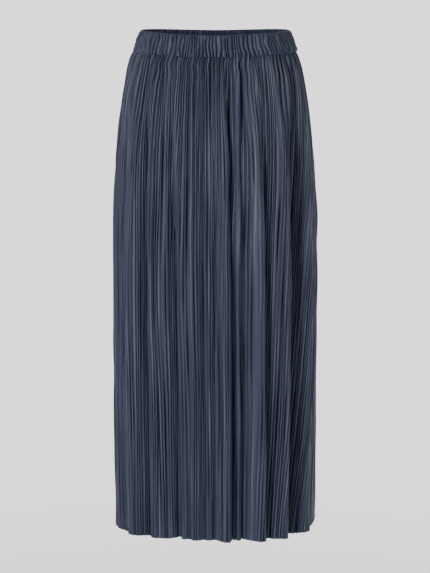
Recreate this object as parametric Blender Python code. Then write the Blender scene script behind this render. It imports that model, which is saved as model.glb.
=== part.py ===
"""Pleated midi skirt: two panels of finely pleated cloth on an elasticated waistband.

Metres, +Z up. The front faces -Y and +X is the wearer's left. The origin is the middle
of the waist, level with the waistband's upper edge at the side seams, and the skirt
hangs below it, filled out as when it is worn. Bearings run round the waist in degrees:
0 is the middle of the front, 90 the left side seam, 180 the middle of the back.
"""
from collections import namedtuple

import bpy
import numpy as np

# ---------------------------------------------------------------- driving sizes
LENGTH = 0.806            # waistband's upper edge to the hem
BAND_HEIGHT = 0.0335      # the elastic's casing
WAIST_DIP = 0.0044        # how much lower the band lies at the middle of front and back
SEAM_GAP = 0.0003         # between pieces that are sewn to each other

# A plan section is a rounded oval: half its width, and its reach to front and back.
Section = namedtuple("Section", "half_width front back")
RIM = Section(half_width=0.1165, front=0.087, back=0.089)
BAND_FOOT = Section(half_width=0.1275, front=0.094, back=0.096)
FULL = Section(half_width=0.1645, front=0.1135, back=0.1200)
OVAL_POWER = 2.3          # 2 is an ellipse, more is squarer
SPREAD = 0.106            # drop over which the cloth widens most of the way to FULL
HEM_DRAW_IN = 0.0030      # the side edges come in a little toward the hem

CLOTH_WALL = 0.0014
PLEAT_DEPTH_BAND = 0.0024
PLEAT_DEPTH_HEM = 0.0032
PLEAT_UNEVENNESS = 0.28   # share by which a pleat is wider or narrower than the mean

GATHERS = 72              # round the whole waistband
GATHER_DEPTH = 0.0026
GATHER_UNEVENNESS = 0.25

FOLD_SPREAD = 0.15        # drop over which the folds reach most of their depth

# The drops at which a panel's wall has a ring of points.
PANEL_DROPS = (BAND_HEIGHT + SEAM_GAP, 0.048, 0.066, 0.090, 0.120, 0.160, 0.210,
               0.270, 0.340, 0.420, 0.500, 0.580, 0.660, 0.735, LENGTH)

# The waistband's closed profile: how far down, and how far out from the middle of its
# wall. It goes down the outside and comes back up the inside.
ProfilePoint = namedtuple("ProfilePoint", "drop out")
BAND_PROFILE = (
    ProfilePoint(drop=0.0000, out=0.0002),
    ProfilePoint(drop=0.0012, out=0.0014),
    ProfilePoint(drop=0.0090, out=0.0019),
    ProfilePoint(drop=0.0230, out=0.0019),
    ProfilePoint(drop=BAND_HEIGHT, out=0.0011),
    ProfilePoint(drop=BAND_HEIGHT, out=-0.0009),
    ProfilePoint(drop=0.0200, out=-0.0013),
    ProfilePoint(drop=0.0012, out=-0.0011),
)

# The large folds, each a crest or a hollow that runs from the band down to the hem: its
# bearing at the band and at the hem, how far it stands out at the hem, and how far it
# leans sideways over the hollow beside it.
Fold = namedtuple("Fold", "at_band at_hem out lean")
FOLDS = (
    Fold(at_band=-90, at_hem=-90, out=-0.003, lean=0.000),
    Fold(at_band=-79, at_hem=-78, out=0.002, lean=0.000),
    Fold(at_band=-69, at_hem=-67, out=-0.003, lean=0.000),
    Fold(at_band=-61, at_hem=-59, out=0.009, lean=0.000),
    Fold(at_band=-54, at_hem=-50, out=-0.008, lean=0.000),
    Fold(at_band=-50, at_hem=-45, out=0.003, lean=0.001),
    Fold(at_band=-46, at_hem=-38, out=0.001, lean=0.000),
    Fold(at_band=-41, at_hem=-30, out=-0.018, lean=0.000),
    Fold(at_band=-32, at_hem=-24, out=-0.001, lean=0.000),
    Fold(at_band=-24, at_hem=-21, out=-0.005, lean=0.000),
    Fold(at_band=-18, at_hem=-14, out=0.004, lean=0.000),
    Fold(at_band=-11, at_hem=-9, out=-0.005, lean=0.000),
    Fold(at_band=-4, at_hem=-4, out=0.002, lean=0.000),
    Fold(at_band=0, at_hem=-1, out=-0.005, lean=0.000),
    Fold(at_band=6, at_hem=9, out=0.018, lean=0.003),
    Fold(at_band=10, at_hem=14, out=-0.006, lean=0.000),
    Fold(at_band=17, at_hem=17, out=0.006, lean=0.002),
    Fold(at_band=22, at_hem=21, out=-0.007, lean=0.000),
    Fold(at_band=28, at_hem=30, out=0.021, lean=0.005),
    Fold(at_band=36, at_hem=37, out=-0.004, lean=0.000),
    Fold(at_band=46, at_hem=44, out=0.019, lean=0.008),
    Fold(at_band=65, at_hem=54, out=-0.018, lean=0.000),
    Fold(at_band=74, at_hem=66, out=0.008, lean=0.002),
    Fold(at_band=79, at_hem=74, out=-0.005, lean=0.000),
    Fold(at_band=88, at_hem=86, out=-0.002, lean=0.000),
    Fold(at_band=98, at_hem=98, out=0.003, lean=0.000),
    Fold(at_band=105, at_hem=106, out=-0.005, lean=0.000),
    Fold(at_band=114, at_hem=115, out=0.010, lean=0.002),
    Fold(at_band=124, at_hem=126, out=-0.010, lean=0.000),
    Fold(at_band=136, at_hem=137, out=0.013, lean=-0.003),
    Fold(at_band=146, at_hem=147, out=-0.004, lean=0.000),
    Fold(at_band=156, at_hem=156, out=0.011, lean=-0.002),
    Fold(at_band=167, at_hem=168, out=-0.010, lean=0.000),
    Fold(at_band=179, at_hem=181, out=0.008, lean=0.002),
    Fold(at_band=190, at_hem=191, out=-0.006, lean=0.000),
    Fold(at_band=201, at_hem=202, out=0.014, lean=0.003),
    Fold(at_band=213, at_hem=212, out=-0.012, lean=0.000),
    Fold(at_band=226, at_hem=226, out=0.010, lean=-0.002),
    Fold(at_band=236, at_hem=238, out=-0.009, lean=0.000),
    Fold(at_band=246, at_hem=246, out=0.006, lean=0.001),
    Fold(at_band=253, at_hem=253, out=-0.004, lean=0.000),
    Fold(at_band=260, at_hem=260, out=0.003, lean=0.000),
    Fold(at_band=270, at_hem=270, out=-0.003, lean=0.000),
)
AT_BAND, AT_HEM, FOLD_OUT, FOLD_LEAN = np.array(FOLDS).T

# Lines that the pleats follow from the band to the hem, and the number of pleats up to
# each. The side seams swing toward the front, and the pleats beside them with them.
Guide = namedtuple("Guide", "at_band at_hem pleats")
GUIDES = (
    Guide(at_band=-95, at_hem=-87, pleats=0),      # right side seam
    Guide(at_band=-61, at_hem=-58, pleats=12),
    Guide(at_band=-41, at_hem=-36, pleats=19),
    Guide(at_band=-20, at_hem=-17, pleats=26),
    Guide(at_band=0, at_hem=0, pleats=32),
    Guide(at_band=31, at_hem=27, pleats=41),
    Guide(at_band=106, at_hem=70, pleats=64),      # left side seam
    Guide(at_band=180, at_hem=180, pleats=96),
    Guide(at_band=265, at_hem=273, pleats=128),    # right side seam again
)
PLEATS_PER_PANEL = GUIDES[-1].pleats // 2

FINE_STEPS = 1440         # bearings all round at which a ring's length is measured
TANGENT_STEP = np.radians(0.5)
CLOTH_COLOUR = "3C425B"   # sRGB, slate navy
CLOTH_ROUGHNESS = 0.62


# ---------------------------------------------------------------- plan sections
def blend(first, second, share):
    """A section part of the way from one section to another."""
    return Section(*(a + (b - a) * share for a, b in zip(first, second)))


def section_at(drop):
    """The plan section at a drop below the waist: quick to widen, then nearly straight."""
    if drop <= BAND_HEIGHT:
        return blend(RIM, BAND_FOOT, drop / BAND_HEIGHT)
    settled = 1.0 - np.exp(-(drop - BAND_HEIGHT) / SPREAD)
    section = blend(BAND_FOOT, FULL, settled)
    draw_in = HEM_DRAW_IN * (drop / LENGTH) ** 2
    return section._replace(half_width=section.half_width - draw_in)


def oval_radius(bearing, section):
    """Distance from the axis to a rounded oval, for bearings in radians."""
    reach = np.where(np.cos(bearing) > 0.0, section.front, section.back)
    across = np.abs(np.sin(bearing)) / section.half_width
    along = np.abs(np.cos(bearing)) / reach
    return (across ** OVAL_POWER + along ** OVAL_POWER) ** (-1.0 / OVAL_POWER)


def fold_growth(drop):
    """The share of their full depth that the folds have at a drop."""
    below_band = max(drop - BAND_HEIGHT, 0.0)
    return 1.0 - np.exp(-below_band / FOLD_SPREAD)


def fold_curve(values, bearing, drop):
    """A value of the folds at each bearing: it falls to a narrow hollow from broad crests."""
    drift = 0.5 * (fold_growth(drop) + drop / LENGTH)
    places = np.radians(AT_BAND + (AT_HEM - AT_BAND) * drift)
    wrapped = (bearing - places[0]) % (2.0 * np.pi) + places[0]
    after = np.clip(np.searchsorted(places, wrapped), 1, len(places) - 1)
    share = (wrapped - places[after - 1]) / (places[after] - places[after - 1])
    first, second = values[after - 1], values[after]
    rising = np.where(second > first, share, 1.0 - share)
    lift = 0.5 * np.sin(0.5 * np.pi * rising) + 0.25 * (1.0 - np.cos(np.pi * rising))
    return (np.minimum(first, second) + np.abs(second - first) * lift) * fold_growth(drop)


def plan_curve(bearing, drop):
    """Points of the cloth's middle line in plan, as an array of x and y."""
    radius = oval_radius(bearing, section_at(drop)) + fold_curve(FOLD_OUT, bearing, drop)
    lean = fold_curve(FOLD_LEAN, bearing, drop)
    away = np.stack([np.sin(bearing), -np.cos(bearing)], axis=1)
    round_it = np.stack([np.cos(bearing), np.sin(bearing)], axis=1)
    return away * radius[:, None] + round_it * lean[:, None]


def outward(bearing, drop):
    """Unit vectors in plan, square to the middle line and away from the axis."""
    along = plan_curve(bearing + TANGENT_STEP, drop) - plan_curve(bearing - TANGENT_STEP, drop)
    along /= np.linalg.norm(along, axis=1, keepdims=True)
    return np.stack([along[:, 1], -along[:, 0]], axis=1)


def height(bearing, drop):
    """The Z of a point: the waist dips at the front and back, the hem is level."""
    return -drop - WAIST_DIP * (1.0 - drop / LENGTH) * np.cos(bearing) ** 2


def plan_ring(bearing, drop, out):
    """Points in plan at a drop, moved out from the middle line."""
    return plan_curve(bearing, drop) + outward(bearing, drop) * np.reshape(out, (-1, 1))


def sideways(line, ends):
    """The step out from each point of a line in plan that gives its wall an even thickness.

    At a bend the step is longer, and halves the angle. At the two ends it goes along the
    directions given.
    """
    along = np.diff(line, axis=0)
    along /= np.linalg.norm(along, axis=1, keepdims=True)
    square = np.stack([along[:, 1], -along[:, 0]], axis=1)
    both = square[:-1] + square[1:]
    steps = 2.0 * both / np.sum(both ** 2, axis=1, keepdims=True)
    first, last = ends
    return np.vstack([first / (first @ square[0]), steps, last / (last @ square[-1])])


# ---------------------------------------------------------------- pleats
def uneven(number, panel):
    """A fixed, irregular value between -1 and 1 for each pleat edge: two slow beats."""
    quick = np.sin(2.4 * number + 1.7 * panel)
    slow = np.sin(0.83 * number + 0.6 + panel)
    return 0.6 * quick + 0.4 * slow


def cloth_ruler(drop):
    """Bearings all round, and at each the length of cloth and the pleats counted so far."""
    guides = np.radians([g.at_band + (g.at_hem - g.at_band) * drop / LENGTH for g in GUIDES])
    bearing = np.linspace(guides[0], guides[-1], FINE_STEPS + 1)
    steps = np.linalg.norm(np.diff(plan_curve(bearing, drop), axis=0), axis=1)
    length = np.concatenate([[0.0], np.cumsum(steps)])
    at_guides = np.interp(guides, bearing, length)
    return bearing, length, np.interp(length, at_guides, [g.pleats for g in GUIDES])


def pleat_bearings(panel, drop):
    """Bearings of a panel's pleat edges, valleys and ridges in turn."""
    widths = 1.0 + PLEAT_UNEVENNESS * uneven(np.arange(2 * PLEATS_PER_PANEL), panel)
    shares = np.concatenate([[0.0], np.cumsum(widths)]) / widths.sum()
    bearing, length, pleats = cloth_ruler(drop)
    lengths = np.interp((panel + shares) * PLEATS_PER_PANEL, pleats, length)
    lengths[0] += 0.5 * SEAM_GAP
    lengths[-1] -= 0.5 * SEAM_GAP
    return np.interp(lengths, length, bearing)


def pleat_out(drop):
    """Ridges stand out and valleys in; a panel starts and ends in a valley."""
    share = (drop - BAND_HEIGHT) / (LENGTH - BAND_HEIGHT)
    depth = PLEAT_DEPTH_BAND + (PLEAT_DEPTH_HEM - PLEAT_DEPTH_BAND) * share
    out = np.full(2 * PLEATS_PER_PANEL + 1, -0.5 * depth)
    out[1::2] = 0.5 * depth
    return out


# ---------------------------------------------------------------- closed walls
def grid_faces(rows, columns, wraps):
    """Quads between neighbouring rows of a grid of points, rows joined end to end."""
    row = np.arange(rows)[:, None]
    column = np.arange(columns if wraps else columns - 1)[None, :]
    next_row = (row + 1) % rows
    next_column = (column + 1) % columns
    corners = (row * columns + column, next_row * columns + column,
               next_row * columns + next_column, row * columns + next_column)
    return np.stack(np.broadcast_arrays(*corners), axis=-1).reshape(-1, 4)


def end_faces(rows, columns, column, flip):
    """Quads that close one side edge of a wall whose rows go down outside, up inside."""
    half = rows // 2
    outer = np.arange(half - 1)
    inner = rows - 1 - outer
    quads = np.stack([outer, outer + 1, inner - 1, inner], axis=1) * columns + column
    return quads[:, ::-1] if flip else quads


def split(quads, turned):
    """Two triangles for each quad, cut across from its first corner, or its second if turned."""
    quads = np.where(turned[:, None], np.roll(quads, -1, axis=1), quads)
    return np.concatenate([quads[:, [0, 1, 2]], quads[:, [0, 2, 3]]])


def make_object(name, points, faces, material):
    mesh = bpy.data.meshes.new(name)
    mesh.from_pydata(points.tolist(), [], faces.tolist())
    mesh.materials.append(material)
    mesh.validate()
    made = bpy.data.objects.new(name, mesh)
    bpy.context.scene.collection.objects.link(made)
    return made


def wall_rows(panel, drop):
    """A panel's pleated line at a drop, as points on the wall's outside and its inside."""
    bearing = pleat_bearings(panel, drop)
    line = plan_ring(bearing, drop, pleat_out(drop))
    step = 0.5 * CLOTH_WALL * sideways(line, outward(bearing[[0, -1]], drop))
    level = height(bearing, drop)
    return np.column_stack([line + step, level]), np.column_stack([line - step, level])


def make_panel(name, panel, material):
    """One panel: pleated rows down its outside, then up its inside, and two seam edges.

    The rows of the inside run the other way, so its quads are cut from their second corner:
    both sides of the wall then bend along the same lines.
    """
    outside, inside = zip(*[wall_rows(panel, drop) for drop in PANEL_DROPS])
    rows = outside + inside[::-1]
    columns = len(rows[0])
    quads = grid_faces(len(rows), columns, wraps=False)
    is_inside = quads[:, 0] // columns >= len(outside)
    edges = np.concatenate([end_faces(len(rows), columns, 0, flip=True),
                            end_faces(len(rows), columns, columns - 1, flip=False)])
    faces = np.concatenate([split(quads, is_inside), split(edges, np.zeros(len(edges), bool))])
    return make_object(name, np.concatenate(rows), faces, material)


def make_waistband(name, material):
    """The casing: one closed profile carried round the waist, gathered by its elastic."""
    number = np.arange(2 * GATHERS)
    place = number + GATHER_UNEVENNESS * uneven(number, 0)
    bearing = 2.0 * np.pi * place / len(number)
    ridge = np.where(number % 2 == 1, 0.5, -0.5) * GATHER_DEPTH
    rows = [np.column_stack([plan_ring(bearing, point.drop, point.out + ridge),
                             height(bearing, point.drop)]) for point in BAND_PROFILE]
    faces = grid_faces(len(rows), len(number), wraps=True)
    return make_object(name, np.concatenate(rows), faces, material)


# ---------------------------------------------------------------- material and build
def linear(hex_colour):
    """An sRGB hex colour as linear red, green, blue and alpha."""
    values = [int(hex_colour[i:i + 2], 16) / 255 for i in (0, 2, 4)]
    return [v / 12.92 if v <= 0.04045 else ((v + 0.055) / 1.055) ** 2.4 for v in values] + [1.0]


def make_cloth(name):
    material = bpy.data.materials.new(name)
    material.use_nodes = True
    shader = material.node_tree.nodes["Principled BSDF"]
    shader.inputs["Base Color"].default_value = linear(CLOTH_COLOUR)
    shader.inputs["Roughness"].default_value = CLOTH_ROUGHNESS
    shader.inputs["Metallic"].default_value = 0.0
    return material


def main():
    for leftover in list(bpy.data.objects):
        bpy.data.objects.remove(leftover, do_unlink=True)
    make_panel("skirt_front", 0, make_cloth("front_plisse"))
    make_panel("skirt_back", 1, make_cloth("back_plisse"))
    make_waistband("waistband", make_cloth("band_plisse"))


main()
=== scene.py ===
# %% [markdown]
# # A pleated midi skirt, filled out as it is worn
#
# The skirt is two panels of plisse cloth on an elasticated waistband. Plisse is polyester
# that has been folded into hundreds of narrow lengthwise pleats and set with heat, so the
# pleats never fall out. All the character of the garment is in those pleats: no two are
# quite alike, some stand up sharply, some have relaxed almost flat, and they lean, meet
# and part again on their way down.
#
# The lesson starts from the solid model. It gives the size and the place of everything,
# and each finished piece stands in for one of its nodes.

# %% Load the solid model
from collections import namedtuple

import bpy
import numpy as np
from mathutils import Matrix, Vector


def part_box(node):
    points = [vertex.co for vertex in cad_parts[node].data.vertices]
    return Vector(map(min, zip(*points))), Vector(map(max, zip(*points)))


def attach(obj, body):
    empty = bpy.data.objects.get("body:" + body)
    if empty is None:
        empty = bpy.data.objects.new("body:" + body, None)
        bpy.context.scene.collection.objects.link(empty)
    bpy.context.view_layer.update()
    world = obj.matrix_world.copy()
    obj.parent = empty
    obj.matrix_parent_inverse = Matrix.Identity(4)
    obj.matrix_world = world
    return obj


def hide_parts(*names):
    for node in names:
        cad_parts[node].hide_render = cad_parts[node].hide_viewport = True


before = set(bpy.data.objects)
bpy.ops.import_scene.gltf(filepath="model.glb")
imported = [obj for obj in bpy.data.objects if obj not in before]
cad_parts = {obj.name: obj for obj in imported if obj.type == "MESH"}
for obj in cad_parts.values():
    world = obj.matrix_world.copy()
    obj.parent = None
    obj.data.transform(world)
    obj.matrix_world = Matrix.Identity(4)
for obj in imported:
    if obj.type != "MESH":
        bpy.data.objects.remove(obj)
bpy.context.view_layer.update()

# %% [markdown]
# ## The shape in plan
#
# A worn skirt could be draped by a cloth simulation on a hidden figure. A simulation of
# this many pleats would take hours, and it would smooth them. So the shape is worked out
# instead. Seen from above, the cloth runs round a rounded oval that is smallest at the
# waist and widens quickly over the hips. Bearings run round it: 0 is the middle of the
# front, which faces -Y, and 90 is the wearer's left.

# %% Sizes, and the oval at any height
LENGTH = -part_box("skirt_front")[0][2]
BAND_FOOT_DROP = -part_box("skirt_front")[1][2]
WAIST_DIP = 0.0044        # the rim is this much lower at the front and the back

Section = namedtuple("Section", "half_width front back")
RIM = Section(half_width=0.1165, front=0.087, back=0.089)
BAND_FOOT = Section(half_width=0.1275, front=0.094, back=0.096)
FULL = Section(half_width=0.1645, front=0.1135, back=0.1200)
OVAL_POWER = 2.3          # 2 would be an ellipse
SPREAD = 0.106            # drop over which the cloth widens most of the way to FULL
HEM_DRAW_IN = 0.0030      # the sides come in a little toward the hem


def blend(first, second, share):
    """First section plus a share of the way to the second, size by size."""
    return Section(*(a + (b - a) * share for a, b in zip(first, second)))


def section_at(drop):
    """Straight from the rim to the band's foot, then an exponential settling to full size."""
    if drop <= BAND_FOOT_DROP:
        return blend(RIM, BAND_FOOT, drop / BAND_FOOT_DROP)
    settled = 1.0 - np.exp(-(drop - BAND_FOOT_DROP) / SPREAD)
    section = blend(BAND_FOOT, FULL, settled)
    return section._replace(half_width=section.half_width - HEM_DRAW_IN * (drop / LENGTH) ** 2)


def oval_radius(bearing, section):
    """Superellipse: the power mean of the shares of the two half sizes, turned over."""
    reach = np.where(np.cos(bearing) > 0.0, section.front, section.back)
    across = np.abs(np.sin(bearing)) / section.half_width
    along = np.abs(np.cos(bearing)) / reach
    return (across ** OVAL_POWER + along ** OVAL_POWER) ** (-1.0 / OVAL_POWER)


# %% [markdown]
# ## The large folds
#
# The cloth is wider than the figure it hangs on, so it also swings in and out in large
# folds. Each row below is one crest or one hollow. It has a bearing at the band and one
# at the hem, because folds drift sideways as the hips fill them out, and the distance that
# it stands out at the hem. A lean pushes a crest sideways over the hollow beside it. The
# pleats are wide and relaxed on a broad crest and squeezed narrow in a hollow.

# %% Crests and hollows
Fold = namedtuple("Fold", "at_band at_hem out lean pleats")
FOLDS = (
    Fold(at_band=-90, at_hem=-90, out=-0.003, lean=0.000, pleats=1.0),
    Fold(at_band=-79, at_hem=-78, out=0.002, lean=0.000, pleats=1.2),
    Fold(at_band=-69, at_hem=-67, out=-0.003, lean=0.000, pleats=0.8),
    Fold(at_band=-61, at_hem=-59, out=0.009, lean=0.000, pleats=1.15),
    Fold(at_band=-54, at_hem=-50, out=-0.008, lean=0.000, pleats=0.6),
    Fold(at_band=-50, at_hem=-45, out=0.003, lean=0.001, pleats=1.25),
    Fold(at_band=-46, at_hem=-38, out=0.001, lean=0.000, pleats=1.25),
    Fold(at_band=-41, at_hem=-30, out=-0.018, lean=0.000, pleats=0.8),
    Fold(at_band=-32, at_hem=-24, out=-0.001, lean=0.000, pleats=1.0),
    Fold(at_band=-24, at_hem=-21, out=-0.005, lean=0.000, pleats=0.8),
    Fold(at_band=-18, at_hem=-14, out=0.004, lean=0.000, pleats=1.15),
    Fold(at_band=-11, at_hem=-9, out=-0.005, lean=0.000, pleats=0.6),
    Fold(at_band=-4, at_hem=-4, out=0.002, lean=0.000, pleats=1.25),
    Fold(at_band=0, at_hem=-1, out=-0.005, lean=0.000, pleats=0.6),
    Fold(at_band=6, at_hem=9, out=0.018, lean=0.003, pleats=1.1),
    Fold(at_band=10, at_hem=14, out=-0.006, lean=0.000, pleats=0.8),
    Fold(at_band=17, at_hem=17, out=0.006, lean=0.002, pleats=1.2),
    Fold(at_band=22, at_hem=21, out=-0.007, lean=0.000, pleats=0.8),
    Fold(at_band=28, at_hem=30, out=0.021, lean=0.005, pleats=1.3),
    Fold(at_band=36, at_hem=37, out=-0.004, lean=0.000, pleats=0.8),
    Fold(at_band=46, at_hem=44, out=0.019, lean=0.008, pleats=1.3),
    Fold(at_band=65, at_hem=54, out=-0.018, lean=0.000, pleats=0.8),
    Fold(at_band=74, at_hem=66, out=0.008, lean=0.002, pleats=1.1),
    Fold(at_band=79, at_hem=74, out=-0.005, lean=0.000, pleats=0.8),
    Fold(at_band=88, at_hem=86, out=-0.002, lean=0.000, pleats=0.9),
    Fold(at_band=98, at_hem=98, out=0.003, lean=0.000, pleats=1.1),
    Fold(at_band=105, at_hem=106, out=-0.005, lean=0.000, pleats=0.8),
    Fold(at_band=114, at_hem=115, out=0.010, lean=0.002, pleats=1.15),
    Fold(at_band=124, at_hem=126, out=-0.010, lean=0.000, pleats=0.7),
    Fold(at_band=136, at_hem=137, out=0.013, lean=-0.003, pleats=1.2),
    Fold(at_band=146, at_hem=147, out=-0.004, lean=0.000, pleats=0.7),
    Fold(at_band=156, at_hem=156, out=0.011, lean=-0.002, pleats=1.15),
    Fold(at_band=167, at_hem=168, out=-0.010, lean=0.000, pleats=0.6),
    Fold(at_band=179, at_hem=181, out=0.008, lean=0.002, pleats=1.25),
    Fold(at_band=190, at_hem=191, out=-0.006, lean=0.000, pleats=0.7),
    Fold(at_band=201, at_hem=202, out=0.014, lean=0.003, pleats=1.2),
    Fold(at_band=213, at_hem=212, out=-0.012, lean=0.000, pleats=0.7),
    Fold(at_band=226, at_hem=226, out=0.010, lean=-0.002, pleats=1.2),
    Fold(at_band=236, at_hem=238, out=-0.009, lean=0.000, pleats=0.7),
    Fold(at_band=246, at_hem=246, out=0.006, lean=0.001, pleats=1.2),
    Fold(at_band=253, at_hem=253, out=-0.004, lean=0.000, pleats=0.8),
    Fold(at_band=260, at_hem=260, out=0.003, lean=0.000, pleats=1.1),
    Fold(at_band=270, at_hem=270, out=-0.003, lean=0.000, pleats=0.9),
)
AT_BAND, AT_HEM, FOLD_OUT, FOLD_LEAN, FOLD_PLEATS = np.array(FOLDS).T
FOLD_SPREAD = 0.15        # drop over which the folds reach most of their depth
TANGENT_STEP = np.radians(0.5)
print("crests and hollows:", len(FOLDS) - 1)


def fold_growth(drop):
    """Nothing at the band, then an exponential rise to nearly one at the hem."""
    return 1.0 - np.exp(-max(drop - BAND_FOOT_DROP, 0.0) / FOLD_SPREAD)


def near_fold(bearing, drop):
    """The fold before a bearing, the one after it, and the share of the way between them.

    Folds drift from their bearing at the band by the mean of their growth and the drop.
    """
    drift = 0.5 * (fold_growth(drop) + drop / LENGTH)
    places = np.radians(AT_BAND + (AT_HEM - AT_BAND) * drift)
    bearing = (bearing - places[0]) % (2.0 * np.pi) + places[0]
    after = np.clip(np.searchsorted(places, bearing), 1, len(places) - 1)
    share = (bearing - places[after - 1]) / (places[after] - places[after - 1])
    return after - 1, after, share


def fold_curve(values, bearing, drop):
    """Half sine up and half cosine wave, averaged: a narrow hollow and a broad crest."""
    before, after, share = near_fold(bearing, drop)
    low, high = values[before], values[after]
    rising = np.where(high > low, share, 1.0 - share)
    lift = 0.5 * np.sin(0.5 * np.pi * rising) + 0.25 * (1.0 - np.cos(np.pi * rising))
    return (np.minimum(low, high) + np.abs(high - low) * lift) * fold_growth(drop)


def plan_curve(bearing, drop):
    """The oval plus the folds' stand-out along the radius, and their lean square to it."""
    radius = oval_radius(bearing, section_at(drop)) + fold_curve(FOLD_OUT, bearing, drop)
    lean = fold_curve(FOLD_LEAN, bearing, drop)
    away = np.stack([np.sin(bearing), -np.cos(bearing)], axis=-1)
    round_it = np.stack([np.cos(bearing), np.sin(bearing)], axis=-1)
    return away * radius[..., None] + round_it * lean[..., None]


def outward(bearing, drop):
    """The curve's tangent turned a quarter, at length one."""
    along = plan_curve(bearing + TANGENT_STEP, drop) - plan_curve(bearing - TANGENT_STEP, drop)
    along /= np.linalg.norm(along, axis=-1, keepdims=True)
    return np.stack([along[..., 1], -along[..., 0]], axis=-1)


def height(bearing, drop):
    """The waist dips at the front and the back by a squared cosine, and the hem is level."""
    return -drop - WAIST_DIP * (1.0 - drop / LENGTH) * np.cos(bearing) ** 2


# %% [markdown]
# ## The lines that the pleats follow
#
# The pleats are straight on the flat cloth. On the figure they hang straight down at the
# middle of the front and the back, and at the sides they swing toward the front, because
# the cloth there is taken up by the deep front folds. A few guide lines say where: each
# is a bearing at the band, a bearing at the hem, and the number of the pleat that runs
# along it. Between two guides the pleats share the cloth's length.

# %% Guide lines
Guide = namedtuple("Guide", "at_band at_hem pleat")
GUIDES = (
    Guide(at_band=-95, at_hem=-87, pleat=0),      # right side seam
    Guide(at_band=-61, at_hem=-58, pleat=27),
    Guide(at_band=-41, at_hem=-36, pleat=42),
    Guide(at_band=-20, at_hem=-17, pleat=58),
    Guide(at_band=0, at_hem=0, pleat=70),
    Guide(at_band=31, at_hem=27, pleat=90),
    Guide(at_band=106, at_hem=70, pleat=140),     # left side seam
    Guide(at_band=180, at_hem=180, pleat=210),
    Guide(at_band=265, at_hem=273, pleat=280),
)
PLEATS = GUIDES[-1].pleat
PANEL_PLEATS = PLEATS // 2
FINE_STEPS = 2400         # of the ruler that measures cloth, round the whole skirt


def guide_bearings(drop):
    """A straight line from each guide's bearing at the band to the one at the hem."""
    return np.radians([g.at_band + (g.at_hem - g.at_band) * drop / LENGTH for g in GUIDES])


def cloth_ruler(drop):
    """Bearings all round, the length of cloth up to each, and the pleats counted up to it.

    The count grows by length over pleat width, and is stretched between guides to fit them.
    """
    guides = guide_bearings(drop)
    bearing = np.linspace(guides[0], guides[-1], FINE_STEPS + 1)
    steps = np.linalg.norm(np.diff(plan_curve(bearing, drop), axis=0), axis=1)
    before, after, share = near_fold(bearing[:-1], drop)
    pleats = FOLD_PLEATS[before] + (FOLD_PLEATS[after] - FOLD_PLEATS[before]) * share
    length = np.concatenate([[0.0], np.cumsum(steps)])
    packed = np.concatenate([[0.0], np.cumsum(steps / pleats)])
    at_guides = np.interp(guides, bearing, packed)
    return bearing, length, np.interp(packed, at_guides, [g.pleat for g in GUIDES])


print("cloth round the hem, metres:", round(cloth_ruler(LENGTH)[1][-1], 3))

# %% [markdown]
# ## The pleats
#
# A pleat is two narrow faces with a ridge between them, and a valley on either side. How
# wide each is, how far its ridge leans and how strongly it stands up are random, but the
# values change slowly on the way down. So they are drawn at a few heights, with eased
# curves between them. The seed is fixed, so the skirt is the same every time.
#
# Set pleats keep the width of their faces. So a pleat that is squeezed narrow stands up
# deep, and one that is pulled wide lies almost flat: the depth starts from the width by
# Pythagoras. That is what gives plisse its bundles of fine dark lines beside broad light
# stripes. Some pleats stand up more strongly than the rule, and some valleys are nipped
# deeper. Both lengthen the faces, so finished ones measure about 5.8 mm where the rule
# starts from 4.

# %% Values that wander, one for each pleat
FACE_WIDTH = 0.0040       # of one pleat's face, ridge to valley, before valleys are nipped
SHALLOWEST = 0.0006       # depth of a pleat that is pulled wide
NARROWEST = 0.22          # pleat, as a share of the mean width
DEEPEST_CUT = 0.0062      # of a valley, below the others
PROUDEST = 0.0009         # ridge, above the others
PINCH_REACH = 0.030       # drop below the band over which the gathers let go
PINCH_PACE = 6.0          # how much faster values change there on the way down
WIDEST_LEAN = 0.42        # as a share of the pleat's width


def eased(share):
    """Half a cosine wave from 0 to 1."""
    return 0.5 - 0.5 * np.cos(np.pi * share)


def fading(distance, reach):
    """An exponential: 1 at no distance, and about a third of that at the reach."""
    return np.exp(-distance / reach)


def near_band(drops):
    """How strongly the gathers at the band's foot are felt, as one column."""
    return fading(np.abs(drops - BAND_FOOT_DROP), PINCH_REACH)[:, None]


def wander(seed, share_down, knots, reach=1, count=PLEATS):
    """Random values at a few heights, averaged over near pleats, eased from one to the next."""
    values = np.random.default_rng(seed).uniform(-1.0, 1.0, (knots, count + reach - 1))
    near = np.lib.stride_tricks.sliding_window_view(values, reach, axis=1)
    values = near.mean(axis=2) * reach ** 0.5
    place = np.clip(share_down, 0.0, 1.0) * (knots - 1)
    before = np.minimum(place.astype(int), knots - 2)
    share = eased(place - before)[:, None]
    return values[before] * (1.0 - share) + values[before + 1] * share


def valley_counts(drops):
    """Relative widths and the wandering of each valley, added up and scaled to each panel."""
    down = drops / LENGTH
    aside = (0.28 * wander(12, down, 5) + 0.60 * wander(13, down, 3, reach=6)
             + 0.35 * near_band(drops) * wander(14, PINCH_PACE * down, 12))
    widths = (1.0 + 0.55 * wander(11, 0.0 * down, 2) + 0.40 * wander(15, 0.0 * down, 2, reach=6)
              + np.diff(aside, axis=1, prepend=0.0))
    widths = np.clip(widths, NARROWEST, None).reshape(len(drops), 2, PANEL_PLEATS)
    ends = np.cumsum(widths, axis=2)
    ends = PANEL_PLEATS * ends / ends[:, :, -1:] + np.array([0, PANEL_PLEATS])[:, None]
    return np.concatenate([np.zeros((len(drops), 1)), ends.reshape(len(drops), -1)], axis=1)


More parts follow.
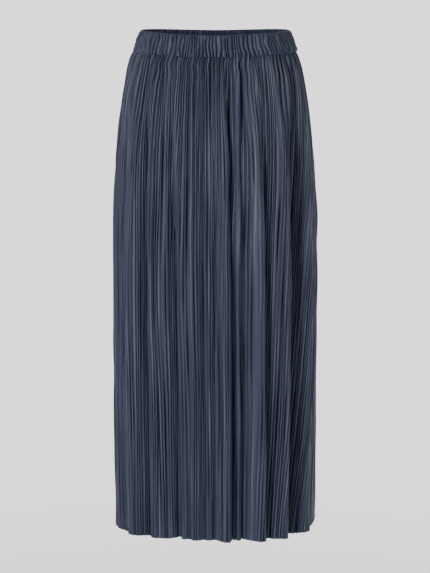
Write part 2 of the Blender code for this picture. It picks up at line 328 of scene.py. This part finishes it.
def pleat_depths(valley_lengths, drops):
    """Pythagoras: face width squared less half the pleat's width squared, times a strength."""
    down = drops / LENGTH
    half_width = 0.5 * np.diff(valley_lengths, axis=1)
    deepest = np.sqrt(np.clip(FACE_WIDTH ** 2 - half_width ** 2, SHALLOWEST ** 2, None))
    strength = (1.05 + 0.25 * wander(21, down, 3, reach=5) + 0.45 * wander(22, down, 17)
                + 0.40 * near_band(drops) * wander(23, PINCH_PACE * down, 12))
    return deepest * np.clip(strength, 0.35, 1.60)


# %% [markdown]
# ## From pleats to a surface
#
# In plan a pleat climbs steeply out of its valley and rounds over at its ridge, because the
# press nips the valleys hard and only rolls the ridges. A sine raised to a power below a
# half has that shape. The result is a grid: one row for each height, and six columns for
# each pleat, which stand closest in the valley, where the cloth turns most.

# %% The curve of one face
FACE_PLACES = np.array([0.0, 0.14, 0.46, 1.0])      # shares of the way from valley to ridge
FACE_POWER = 0.42         # 1 would be a soft wave, and near 0 a slot
FACE_RISE = np.sin(0.5 * np.pi * FACE_PLACES) ** FACE_POWER
STEPS_PER_FACE = len(FACE_PLACES) - 1
STEPS_PER_PLEAT = 2 * STEPS_PER_FACE


def zigzag(valleys, ridges, share):
    """Valley to ridge by the shares given, and down to the next valley by the same ones."""
    up = valleys[:, :-1, None] + (ridges - valleys[:, :-1])[..., None] * share[:-1]
    down = valleys[:, 1:, None] + (ridges - valleys[:, 1:])[..., None] * share[:0:-1]
    inner = np.concatenate([up, down], axis=2).reshape(len(valleys), -1)
    return np.concatenate([inner, valleys[:, -1:]], axis=1)


def closed(values):
    """The first column again after the last, for a ring's valleys."""
    return np.concatenate([values, values[:, :1]], axis=1)


# %% Where the valleys and the ridges run, and how far they stand out
def pleat_places(drops):
    """Pleats counted up to each valley, and to each ridge, which leans off the middle."""
    down = drops / LENGTH
    valleys = valley_counts(drops)
    lean = 0.75 * wander(31, 0.0 * down, 2) + 0.5 * wander(32, down, 4)
    middle = 0.5 + WIDEST_LEAN * np.clip(lean, -1.0, 1.0)
    return valleys, valleys[:, :-1] + np.diff(valleys, axis=1) * middle


def pleat_standing(lengths, drops, share):
    """Valleys and ridges: half a pleat's depth in, mean of two neighbours, and half out.

    Some valleys are nipped deeper for a while, which draws the long dark lines, and more of
    them are right under the band. Each ridge is a little more or less proud than its depth.
    """
    down = drops / LENGTH
    depths = pleat_depths(lengths, drops)
    below = drops - BAND_FOOT_DROP
    under_band = 0.6 * fading(below, 0.008) + 0.3 * fading(below, 0.12)
    nip = 2.0 * wander(24, down, 9) - 0.4 + under_band[:, None]
    nipped = DEEPEST_CUT * np.clip(nip, 0.0, 1.0)
    proud = PROUDEST * wander(33, down, 6)
    valley_out = closed(-0.25 * (depths + np.roll(depths, 1, axis=1)) - nipped)
    return valley_out * share[:, None], (0.5 * depths + proud) * share[:, None]


def bunches(drops):
    """Random values eased from pleat to pleat, so that three or four of them swell together."""
    values = closed(wander(35, drops / LENGTH, 9, reach=2))
    return zigzag(values, 0.5 * (values[:, :-1] + values[:, 1:]), FACE_PLACES)


# %% Rings of cloth
def ring_points(bearing, drop, stand):
    """The plan curve moved along its outward normal, at the height of each bearing."""
    plan = plan_curve(bearing, drop) + outward(bearing, drop) * stand[:, None]
    return np.column_stack([plan, height(bearing, drop)])


def pleated_rings(drops, shift, pleat_share, bunched):
    """A ring of points at each drop, moved out by pleats, bunches and a shift of its own."""
    rulers = [cloth_ruler(drop) for drop in drops]
    valleys, ridges = pleat_places(drops)
    lengths = np.stack([np.interp(row, ruler[2], ruler[1]) for row, ruler in zip(valleys, rulers)])
    out = zigzag(*pleat_standing(lengths, drops, pleat_share), FACE_RISE)
    out = out + shift[:, None] + bunched[:, None] * bunches(drops)
    counts = zigzag(valleys, ridges, FACE_PLACES)
    bearings = [np.interp(count, ruler[2], ruler[0]) for count, ruler in zip(counts, rulers)]
    return np.stack([ring_points(*ring) for ring in zip(bearings, drops, out)])


# %% [markdown]
# Cloth patterns must follow the cloth, so each grid also gets a map of the flat piece:
# metres along the pleats' faces one way and metres down the other. The map counts every
# face as 4 mm, so patterns come out about 1.45 times as wide on the finished faces. A
# second value puts a painted highlight along the ridges, stronger on some than on others,
# which the finish reads as a paler colour.

# %% Put a grid into a mesh
def cloth_map(drops):
    """Metres along faces of the width above, and metres down, for each point of a grid."""
    places = np.concatenate([FACE_PLACES[:-1], 2.0 - FACE_PLACES[:0:-1]])
    across = (2.0 * np.arange(PLEATS)[:, None] + places).reshape(-1)
    across = np.append(across, 2.0 * PLEATS) * FACE_WIDTH
    return np.stack(np.meshgrid(across, -drops), axis=-1)


def painted_ridge_highlights(drops):
    """The painted highlight: up to one on a ridge by a share of its own, none on the points away
    from it.
    """
    from_ridge = np.abs(np.arange(STEPS_PER_PLEAT) - STEPS_PER_FACE)
    on_ridge = np.tile(np.clip(1.0 - from_ridge, 0.0, 1.0), PLEATS)
    # How strong the painted highlight is on each ridge, wandering on the way down.
    shine = np.clip(0.10 + 0.60 * wander(41, drops / LENGTH, 9), 0.0, 1.0)
    highlight_marks = on_ridge * np.repeat(shine, STEPS_PER_PLEAT, axis=1)
    return np.concatenate([highlight_marks, np.zeros((len(drops), 1))], axis=1)


def new_piece(name, points, faces, material):
    """A smooth shaded mesh object at the origin, with its place in its points."""
    mesh = bpy.data.meshes.new(name)
    mesh.from_pydata(points.reshape(-1, 3).tolist(), [], faces)
    mesh.materials.append(material)
    mesh.shade_smooth()
    piece = bpy.data.objects.new(name, mesh)
    bpy.context.scene.collection.objects.link(piece)
    print(name, "faces:", len(faces))
    return piece


def grid_piece(name, points, material, ring=False):
    """Quads between neighbouring points of a grid, wound so that they face outward.

    A ring is joined to itself both ways: its last column is its first one again, and its
    last row its first.
    """
    rows, columns = points.shape[:2]
    tall, wide = (rows - 1, columns - 1) if ring else (rows, columns)
    row, column = np.mgrid[:rows - 1, :columns - 1]
    corners = [(row, column), (row + 1, column), (row + 1, column + 1), (row, column + 1)]
    faces = np.stack([(r % tall) * wide + c % wide for r, c in corners], axis=-1)
    return new_piece(name, points[:tall, :wide], faces.reshape(-1, 4).tolist(), material)


def mark_cloth(piece, flat, painted_highlight, ring=False):
    """The flat map at each corner of each quad, and the painted highlight at each point."""
    row, column = np.mgrid[:flat.shape[0] - 1, :flat.shape[1] - 1]
    at_corners = [flat[row, column], flat[row + 1, column],
                  flat[row + 1, column + 1], flat[row, column + 1]]
    layer = piece.data.uv_layers.new(name="flat_cloth")
    layer.data.foreach_set("uv", np.stack(at_corners, axis=2).reshape(-1))
    painted_highlight = painted_highlight[:-1, :-1] if ring else painted_highlight
    # The painted highlight's strength, stored at each point.
    highlight_marks = piece.data.attributes.new("painted_highlight", "FLOAT", "POINT")
    highlight_marks.data.foreach_set("value", painted_highlight.reshape(-1))


# %% [markdown]
# ## The cloth's finish
#
# Plisse is a thin plain weave of polyester filament, piece-dyed, then folded between two
# sheets of card and steamed. Filament is smooth, so the cloth has a soft satin shine with
# no sparkle. A picture could be wrapped round the cloth, but it would blur close up and
# repeat. Plain patterns are sharper. Three read the flat map: a slate navy that varies a
# little, because cloth takes dye and heat unevenly, a crinkle drawn out along the pleats,
# and the weave. A paler colour along the ridges is a painted highlight, and it reads the
# highlight value.

# %% Colours and nodes
def linear(hex_colour):
    """The sRGB curve undone, channel by channel."""
    values = [int(hex_colour[i:i + 2], 16) / 255 for i in (0, 2, 4)]
    return [v / 12.92 if v <= 0.04045 else ((v + 0.055) / 1.055) ** 2.4 for v in values] + [1.0]


def add_node(tree, kind, inputs=(), links=(), **settings):
    """A node of one kind, with its settings, its plain inputs, and links into its inputs."""
    node = tree.nodes.new(kind)
    for name, value in settings.items():
        setattr(node, name, value)
    for name, value in dict(inputs).items():
        node.inputs[name].default_value = value
    for name, source in dict(links).items():
        tree.links.new(source, node.inputs[name])
    return node


def new_material(name, **inputs):
    """A Principled material with plain values on its own sockets."""
    material = bpy.data.materials.new(name)
    material.use_nodes = True
    shader = material.node_tree.nodes["Principled BSDF"]
    for socket, value in inputs.items():
        shader.inputs[socket.replace("_", " ")].default_value = value
    return material, material.node_tree, shader


# %% Pleated polyester
CLOTH_DEEP = "383E56"
CLOTH_PALE = "40465F"
# A painted highlight: the paler colour that the ridges are mixed toward.
RIDGE_PAINTED_HIGHLIGHT = "7C8298"
DYE_PATCH = (0.045, 0.280)      # metres on the map, across and along the pleats
CRINKLE = (0.0032, 0.060)       # real ones are nearer 1 mm wide, too fine to show
CRINKLE_HEIGHT = 0.0009
WEAVE = 0.0010                  # real threads lie 0.3 mm apart, also too fine to show
WEAVE_HEIGHT = 0.00003
WAVE_AT_SCALE_ONE = 2.0 * np.pi / 20.0


def stretched(tree, flat, size):
    """The flat map divided by a pattern's size across and along the pleats."""
    return add_node(tree, "ShaderNodeMapping", {"Scale": (1.0 / size[0], 1.0 / size[1], 1.0)},
                    {"Vector": flat}).outputs["Vector"]


def make_plisse(name):
    """Heat-set polyester: satin from smooth filament, with a paler painted highlight on its
    ridges.
    """
    # Polyester's IOR is 1.57. Half of its shine sinks in between the threads.
    material, tree, shader = new_material(name, Roughness=0.44, IOR=1.57, Specular_IOR_Level=0.38,
                                          Sheen_Weight=0.06, Sheen_Roughness=0.4)
    flat = add_node(tree, "ShaderNodeUVMap", uv_map="flat_cloth").outputs["UV"]
    dye = add_node(tree, "ShaderNodeTexNoise", {"Scale": 1.0, "Detail": 1.0},
                   {"Vector": stretched(tree, flat, DYE_PATCH)})
    dyed = add_node(tree, "ShaderNodeMix", {6: linear(CLOTH_DEEP), 7: linear(CLOTH_PALE)},
                    {0: dye.outputs["Fac"]}, data_type="RGBA")
    # Painted highlight: the ridges are mixed toward a paler colour.
    painted_highlight = add_node(tree, "ShaderNodeAttribute", attribute_name="painted_highlight")
    colour = add_node(tree, "ShaderNodeMix", {7: linear(RIDGE_PAINTED_HIGHLIGHT)},
                      {0: painted_highlight.outputs["Fac"], 6: dyed.outputs[2]}, data_type="RGBA")
    tree.links.new(colour.outputs[2], shader.inputs["Base Color"])
    threads = [add_node(tree, "ShaderNodeTexWave", {"Scale": WAVE_AT_SCALE_ONE / WEAVE},
                        {"Vector": flat}, bands_direction=way).outputs["Fac"] for way in "XY"]
    weave = add_node(tree, "ShaderNodeMath", links={0: threads[0], 1: threads[1]},
                     operation="MAXIMUM")
    woven = add_node(tree, "ShaderNodeBump", {"Strength": 1.0, "Distance": WEAVE_HEIGHT},
                     {"Height": weave.outputs[0]})
    crinkle = add_node(tree, "ShaderNodeTexNoise", {"Scale": 1.0, "Detail": 2.0},
                       {"Vector": stretched(tree, flat, CRINKLE)})
    crinkled = add_node(tree, "ShaderNodeBump", {"Strength": 1.0, "Distance": CRINKLE_HEIGHT},
                        {"Height": crinkle.outputs["Fac"], "Normal": woven.outputs["Normal"]})
    tree.links.new(crinkled.outputs["Normal"], shader.inputs["Normal"])
    return material


plisse = make_plisse("heat_set_plisse_polyester")

# %% [markdown]
# ## The waistband
#
# The band is a casing: one strip of the same cloth folded over a wide elastic and stitched
# shut along its foot. The elastic draws the cloth into uneven puckers, which are narrower
# and straighter than the pleats. A profile gives its section, from the rim down the outside,
# round the foot and back up the inside, and it is carried round the oval. The puckers
# are shallow at the rim, where the fold stretches them, and pinched by the stitches.

# %% The band's section
BandPoint = namedtuple("BandPoint", "drop out gather")
BAND_PROFILE = (
    BandPoint(drop=0.0000, out=-0.0004, gather=0.30),      # rim
    BandPoint(drop=0.0003, out=0.0004, gather=0.35),
    BandPoint(drop=0.0013, out=0.0009, gather=0.40),
    BandPoint(drop=0.0028, out=0.0006, gather=0.70),
    BandPoint(drop=0.0060, out=0.0006, gather=1.00),
    BandPoint(drop=0.0105, out=0.0007, gather=1.00),
    BandPoint(drop=0.0160, out=0.0009, gather=1.00),
    BandPoint(drop=0.0215, out=0.0011, gather=1.00),
    BandPoint(drop=0.0260, out=0.0012, gather=1.00),
    BandPoint(drop=0.0298, out=0.0008, gather=1.05),
    BandPoint(drop=0.0316, out=-0.0001, gather=0.85),      # stitch groove
    BandPoint(drop=0.0328, out=0.0003, gather=1.00),
    BandPoint(drop=0.0337, out=-0.0006, gather=0.85),      # foot
    BandPoint(drop=0.0338, out=-0.0014, gather=0.65),
    BandPoint(drop=0.0330, out=-0.0020, gather=0.55),      # inside
    BandPoint(drop=0.0220, out=-0.0018, gather=0.60),
    BandPoint(drop=0.0100, out=-0.0018, gather=0.60),
    BandPoint(drop=0.0020, out=-0.0015, gather=0.50),
    BandPoint(drop=0.0003, out=-0.0011, gather=0.35),
    BandPoint(drop=0.0000, out=-0.0004, gather=0.30),
)
band_drops, band_out, band_gather = np.array(BAND_PROFILE).T
STITCH_GROOVE, INSIDE_FOOT = 10, 14      # rows of the profile
PUCKERS = 125
PUCKER_DEPTH = 0.0068

# %% [markdown]
# On the wearer's left a few stitches tack the elastic to the casing, so that it cannot
# twist. They pull the cloth in to a small dimple, which is a bell curve round one point.

# %% Puckers and the tacked spot
Tack = namedtuple("Tack", "bearing drop half_width reach depth")
TACK = Tack(bearing=35.0, drop=0.0272, half_width=2.0, reach=0.0032, depth=0.0042)


def tack_dimple(bearing, drop):
    """A bell curve in degrees round the band and in metres down it."""
    aside = (np.degrees(bearing) - TACK.bearing) / TACK.half_width
    away = (drop - TACK.drop) / TACK.reach
    return TACK.depth * np.exp(-aside ** 2 - away ** 2)


def pucker_wander(seed, drops, knots, reach=1):
    """Values that wander down the band, one for each pucker."""
    return wander(seed, drops / BAND_FOOT_DROP, knots, reach, PUCKERS)


def pucker_places(drops):
    """Shares of the way round for each valley and each ridge, from uneven, slanting widths."""
    aside = 0.30 * pucker_wander(52, drops, 3, 2) + 0.14 * pucker_wander(53, drops, 6)
    widths = 1.0 + 0.50 * pucker_wander(51, 0.0 * drops, 2) + np.diff(aside, axis=1, prepend=0.0)
    ends = np.cumsum(np.clip(widths, 0.25, None), axis=1)
    valleys = np.concatenate([np.zeros((len(drops), 1)), ends / ends[:, -1:]], axis=1)
    lean = 0.5 + 0.26 * pucker_wander(56, drops, 2) + 0.08 * pucker_wander(57, drops, 5)
    return valleys, valleys[:, :-1] + np.diff(valleys, axis=1) * np.clip(lean, 0.15, 0.85)


def puckered_rings(drops, shift, gather):
    """Valleys and ridges half a pucker's depth in and out, and the dimple taken off."""
    depths = 0.80 + 0.35 * pucker_wander(54, drops, 3, 2) + 0.45 * pucker_wander(55, drops, 7)
    depths = PUCKER_DEPTH * np.clip(depths, 0.15, 1.7) * gather[:, None]
    valley_out = closed(-0.25 * (depths + np.roll(depths, 1, axis=1)))
    out = zigzag(valley_out, 0.5 * depths, FACE_RISE) + shift[:, None]
    rings = []
    for drop, place, stand in zip(drops, zigzag(*pucker_places(drops), FACE_PLACES), out):
        bearing, length, _ = cloth_ruler(drop)
        bearing = np.interp(place * length[-1], length, bearing)
        rings.append(ring_points(bearing, drop, stand - tack_dimple(bearing, drop)))
    return np.stack(rings)


# %% Make the waistband
BAND_CLOTH = 1.32          # metres on its map, a tenth less than its finished puckers measure
BAND_HIGHLIGHT_SHARE = 0.4          # its puckers get a weaker painted highlight than the pressed pleats
band_rings = puckered_rings(band_drops, band_out, band_gather)
band_columns = band_rings.shape[1]
band_map = np.stack(np.meshgrid(np.linspace(0.0, BAND_CLOTH, band_columns), -band_drops), axis=-1)
band = grid_piece("elastic_waistband", band_rings, plisse, ring=True)
# The band gets the same painted highlight on its puckers, only weaker.
mark_cloth(band, band_map, BAND_HIGHLIGHT_SHARE * painted_ridge_highlights(band_drops)[:, :band_columns], ring=True)
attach(band, "root")
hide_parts("waistband")

# %% [markdown]
# ## The two panels
#
# A maker cuts a front and a back, pleats them flat and joins them at the sides, each seam in
# a valley where it hides. The top edge is sewn in between the waistband's two walls, so here
# it is placed halfway between them. Just below the band the pleats open, and its gathers
# throw them into bunches, which fade toward the hip. The hem is turned up 5 mm inside, and
# the grid does the same: its last rows run down, round and back up behind the cloth.

# %% Rows of the panels
CLOTH_THICKNESS = 0.0003
PANEL_ROWS = 52            # from the band to the hem's turn
ROW_CROWDING = 1.5         # above 1, rows stand closer under the band
LAST_ROW_GAP = 0.006       # from the last of those rows to the hem's first
SEWN_IN = 0.0016
TUCKED = 0.0016            # how far the edge goes in behind the band's foot
DEEPEST_BUNCH = 0.0068
HEM_DEPTH = 0.005
hem = LENGTH - np.array([HEM_DEPTH + 0.0012, HEM_DEPTH, 0.0006, 0.0, 0.0004, HEM_DEPTH])
hem_shift = np.array([0.0, 0.0003, 0.0003, -0.0003, -0.0009, -0.0009])
way_down = np.linspace(0.0, 1.0, PANEL_ROWS) ** ROW_CROWDING
main = BAND_FOOT_DROP + (hem[0] - LAST_ROW_GAP - BAND_FOOT_DROP) * way_down
drops = np.concatenate([main, hem])
below = drops - BAND_FOOT_DROP
tucked_under = -TUCKED * fading(below, 0.006)
shift = tucked_under + np.concatenate([np.zeros(PANEL_ROWS), hem_shift])
pleat_share = 1.0 - 0.15 * fading(below, 0.015)
bunched = DEEPEST_BUNCH * (1.0 - 0.6 * fading(below, 0.010)) * fading(below, 0.15)


# %% The edge sewn into the band
def bearing_of(ring):
    """The angle of each point seen from above, counted on past half a turn."""
    return np.maximum.accumulate(np.unwrap(np.arctan2(ring[:, 0], -ring[:, 1])))


def sewn_edge(ring, walls):
    """At each point's bearing, the mean of the places that the band's walls have there."""
    places = [[np.interp(bearing_of(ring), bearing_of(wall), wall[:, axis]) for axis in range(3)]
              for wall in walls]
    return np.mean(places, axis=0).T


# %% Make the panels
rings = pleated_rings(drops, shift, pleat_share, bunched)
edge = sewn_edge(rings[0], (band_rings[STITCH_GROOVE], band_rings[INSIDE_FOOT]))
rings = np.concatenate([edge[None], rings])
edged_drops = np.append(BAND_FOOT_DROP - SEWN_IN, drops)
flat_map = cloth_map(edged_drops)
# The painted highlight along the panels' ridges.
highlight_marks = painted_ridge_highlights(edged_drops)
PANEL_NODES = (("plisse_front", "skirt_front"), ("plisse_back", "skirt_back"))
for panel, (name, node) in enumerate(PANEL_NODES):
    first = panel * PANEL_PLEATS * STEPS_PER_PLEAT
    columns = slice(first, first + PANEL_PLEATS * STEPS_PER_PLEAT + 1)
    cloth = grid_piece(name, rings[:, columns], plisse)
    mark_cloth(cloth, flat_map[:, columns], highlight_marks[:, columns])
    wall = cloth.modifiers.new("cloth_thickness", "SOLIDIFY")
    wall.thickness = CLOTH_THICKNESS
    wall.offset = -1.0
    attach(cloth, "root")
    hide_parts(node)

# %% [markdown]
# ## Stitching
#
# Two rows of lockstitch show: one sinks into the groove at the band's foot and closes the
# casing, the other holds the narrow hem. A lockstitch is about 3 mm long, and dips into
# the cloth between one stitch and the next. A row could be drawn in the material, but
# then it would have no shape. Here each stitch is a short tube along the cloth's own zigzag,
# so that it climbs over the pleats as the machine sewed it on the flat.

# %% Paths and tubes
Thread = namedtuple("Thread", "radius pitch shown sides steps")
THREAD = Thread(radius=0.00016, pitch=0.0030, shown=0.84, sides=5, steps=5)


def stitch_paths(line):
    """Points by length along a closed line, lifted by a half sine, and two ways across them."""
    length = np.concatenate([[0.0], np.cumsum(np.linalg.norm(np.diff(line, axis=0), axis=1))])
    count = int(length[-1] / THREAD.pitch)
    share = np.linspace(0.0, 1.0, THREAD.steps)
    places = (np.arange(count)[:, None] + THREAD.shown * share) * (length[-1] / count)
    path = np.stack([np.interp(places, length, line[:, axis]) for axis in range(3)], axis=-1)
    along = np.gradient(path, axis=1)
    along /= np.linalg.norm(along, axis=2, keepdims=True)
    out = np.stack([along[..., 1], -along[..., 0], np.zeros_like(along[..., 0])], axis=-1)
    out /= np.linalg.norm(out, axis=2, keepdims=True)
    lift = THREAD.radius * (1.6 * np.sin(np.pi * share) - 0.6)
    return path + out * lift[:, None], out, np.cross(out, along)


def tube_faces(count):
    """Quads round each tube, and a flat cap on either end of it."""
    ring = np.arange(THREAD.steps - 1)[:, None] * THREAD.sides
    side = np.arange(THREAD.sides)[None, :]
    after = (side + 1) % THREAD.sides
    quads = np.stack([ring + side, ring + after, ring + THREAD.sides + after,
                      ring + THREAD.sides + side], axis=-1).reshape(-1, 4)
    first = np.arange(count)[:, None, None] * THREAD.sides * THREAD.steps
    end = np.arange(THREAD.sides)
    caps = np.stack([end[::-1], end + THREAD.sides * (THREAD.steps - 1)])
    round_it = (first + quads).reshape(-1, 4).tolist()
    return round_it + (first + caps).reshape(-1, THREAD.sides).tolist()


def stitch_row(name, line, material):
    """A circle of points round every point of every path."""
    path, out, up = stitch_paths(line)
    turn = np.linspace(0.0, 2.0 * np.pi, THREAD.sides, endpoint=False)[:, None]
    around = out[:, :, None] * np.cos(turn) + up[:, :, None] * np.sin(turn)
    points = path[:, :, None] + THREAD.radius * around
    piece = new_piece(name, points, tube_faces(len(path)), material)
    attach(piece, "root")
    return piece


# %% [markdown]
# The thread is spun polyester, dyed to match. It is hairy where filament is smooth, so it
# is duller than the cloth, and its two plies are twisted, which a fine wave of painted
# shade in the grooves between them gives.

# %% Sewing thread
# The darker colour is painted shade in the grooves between the plies.
THREAD_PAINTED_GROOVE_SHADE = "2C3146"
THREAD_PALE = "3E445C"
PLY_TWIST = 0.0008         # metres along the thread for each turn of a ply


def make_thread(name):
    """Spun polyester: matt, with painted shade in the grooves between its plies."""
    material, tree, shader = new_material(name, Roughness=0.62, Sheen_Weight=0.2)
    place = add_node(tree, "ShaderNodeTexCoord").outputs["Object"]
    # Painted shade: diagonal bands darken the grooves between the plies.
    groove_shade_bands = add_node(tree, "ShaderNodeTexWave", {"Scale": WAVE_AT_SCALE_ONE / PLY_TWIST},
                     {"Vector": place}, bands_direction="DIAGONAL").outputs["Fac"]
    colour = add_node(tree, "ShaderNodeMix", {6: linear(THREAD_PAINTED_GROOVE_SHADE), 7: linear(THREAD_PALE)},
                      {0: groove_shade_bands}, data_type="RGBA")
    tree.links.new(colour.outputs[2], shader.inputs["Base Color"])
    return material


thread = make_thread("navy_spun_polyester_thread")
HEM_STITCH_ROW = PANEL_ROWS + 2
hem_stitches = stitch_row("hem_stitches", rings[HEM_STITCH_ROW], thread)
casing_stitches = stitch_row("casing_stitches", band_rings[STITCH_GROOVE], thread)

# %% Bar tack
above, under = band_rings[STITCH_GROOVE - 2], band_rings[STITCH_GROOVE - 1]
from_tack = np.degrees(np.arctan2(above[:, 0], -above[:, 1])) - TACK.bearing
tacked = np.flatnonzero(np.abs(from_tack) < TACK.half_width)
to_and_fro = np.where(np.arange(len(tacked))[:, None] % 2, above[tacked], under[tacked])
bar_tack = stitch_row("bar_tack", to_and_fro, thread)

# %% [markdown]
# ## The cut
#
# A pleated panel is cut far wider than it looks. Its flat size is about what the finished
# pleats' faces add up to, and the band's is about what its puckers take up.

# %% [markdown]
# ## Camera
#
# Clothes are best shown from a few metres away with a long lens, so that the sides stay
# straight. The camera stands a little above the waist's height and looks down at the
# middle of the skirt, which opens the back of the waistband to view.

# %% Camera
EYE_DISTANCE = 3.5
EYE_ELEVATION = np.radians(9.6)
LOOK_AT = np.array([0.0, 0.0, -0.4135])
FOCAL_LENGTH = 135.7
SENSOR_WIDTH = 36.0
camera = bpy.data.objects.new("camera", bpy.data.cameras.new("camera"))
camera.data.lens = FOCAL_LENGTH
camera.data.sensor_width = SENSOR_WIDTH
toward_eye = np.array([0.0, -np.cos(EYE_ELEVATION), np.sin(EYE_ELEVATION)])
camera.location = LOOK_AT + EYE_DISTANCE * toward_eye
camera.rotation_euler = (np.pi / 2 - EYE_ELEVATION, 0.0, 0.0)
bpy.context.scene.collection.objects.link(camera)
bpy.context.scene.camera = camera


# %% [markdown]
# ## Light
#
# Pleats show only by their shadows. One tall softbox on the left draws them, a weaker one
# on the right keeps its side from going black, and a faint one overhead opens the valleys
# and the inside of the waistband. Two more light the paper alone, so its grey can be set
# without touching the cloth.

# %% Softboxes
def softbox(name, position, size, watts, aim=LOOK_AT):
    """An area light turned to face its aim."""
    light = bpy.data.lights.new(name, "AREA")
    light.shape = "RECTANGLE"
    light.size, light.size_y = size
    light.energy = watts
    lamp = bpy.data.objects.new(name, light)
    lamp.location = position
    toward = np.array(aim) - np.array(position)
    yaw = np.arctan2(-toward[0], toward[1])
    pitch = np.arctan2(toward[2], np.hypot(toward[0], toward[1]))
    lamp.rotation_euler = (np.pi / 2 + pitch, 0.0, yaw)
    bpy.context.scene.collection.objects.link(lamp)
    print("softbox:", name, "watts:", watts)


softbox("key", (-1.7, -2.9, 0.4), (0.7, 1.6), 64.0)
softbox("right_fill", (2.6, -2.2, 0.6), (0.8, 1.6), 30.0)
softbox("top_fill", (0.2, -1.8, 2.4), (1.2, 1.2), 6.0)
softbox("paper_left", (-1.8, 2.0, 1.4), (0.8, 2.5), 169.0, aim=(-1.3, 4.2, -0.9))
softbox("paper_right", (1.8, 2.0, 1.4), (0.8, 2.5), 174.0, aim=(1.3, 4.2, -0.9))

# %% Studio air
AIR_GLOW = 0.12            # light that reaches the cloth from all round
AIR_SEEN = 0.80            # how bright the studio looks past the paper's edges
world = bpy.data.worlds.new("studio")
bpy.context.scene.world = world
world.use_nodes = True
background = world.node_tree.nodes["Background"]
background.inputs["Color"].default_value = linear("E6E6E6")
seen = add_node(world.node_tree, "ShaderNodeLightPath").outputs["Is Camera Ray"]
strength = add_node(world.node_tree, "ShaderNodeMapRange",
                    {"To Min": AIR_GLOW, "To Max": AIR_SEEN}, {"Value": seen})
world.node_tree.links.new(strength.outputs["Result"], background.inputs["Strength"])

# %% [markdown]
# ## Backdrop
#
# A sweep of pale paper runs along the floor and curves up behind, so that no corner shows.
# It is a line in side view, carried from one side to the other.

# %% Paper sweep
FLOOR = -1.4
NEAR_EDGE, BEND_START = -6.0, 3.0
SWEEP_RADIUS = 2.0
PAPER_HEIGHT = 7.0
HALF_PAPER = 7.0
curve = np.linspace(0.0, np.pi / 2, 24)
sweep_y = np.concatenate([[NEAR_EDGE], BEND_START + SWEEP_RADIUS * np.sin(curve),
                          [BEND_START + SWEEP_RADIUS]])
sweep_z = FLOOR + np.concatenate([[0.0], SWEEP_RADIUS * (1.0 - np.cos(curve)), [PAPER_HEIGHT]])
sweep_points = np.stack([np.column_stack([np.full(len(sweep_y), x), sweep_y, sweep_z])
                         for x in (HALF_PAPER, -HALF_PAPER)], axis=1)
paper = new_material("matt_backdrop_paper", Base_Color=linear("E1E1E1"), Roughness=0.9)[0]
grid_piece("backdrop", sweep_points, paper)
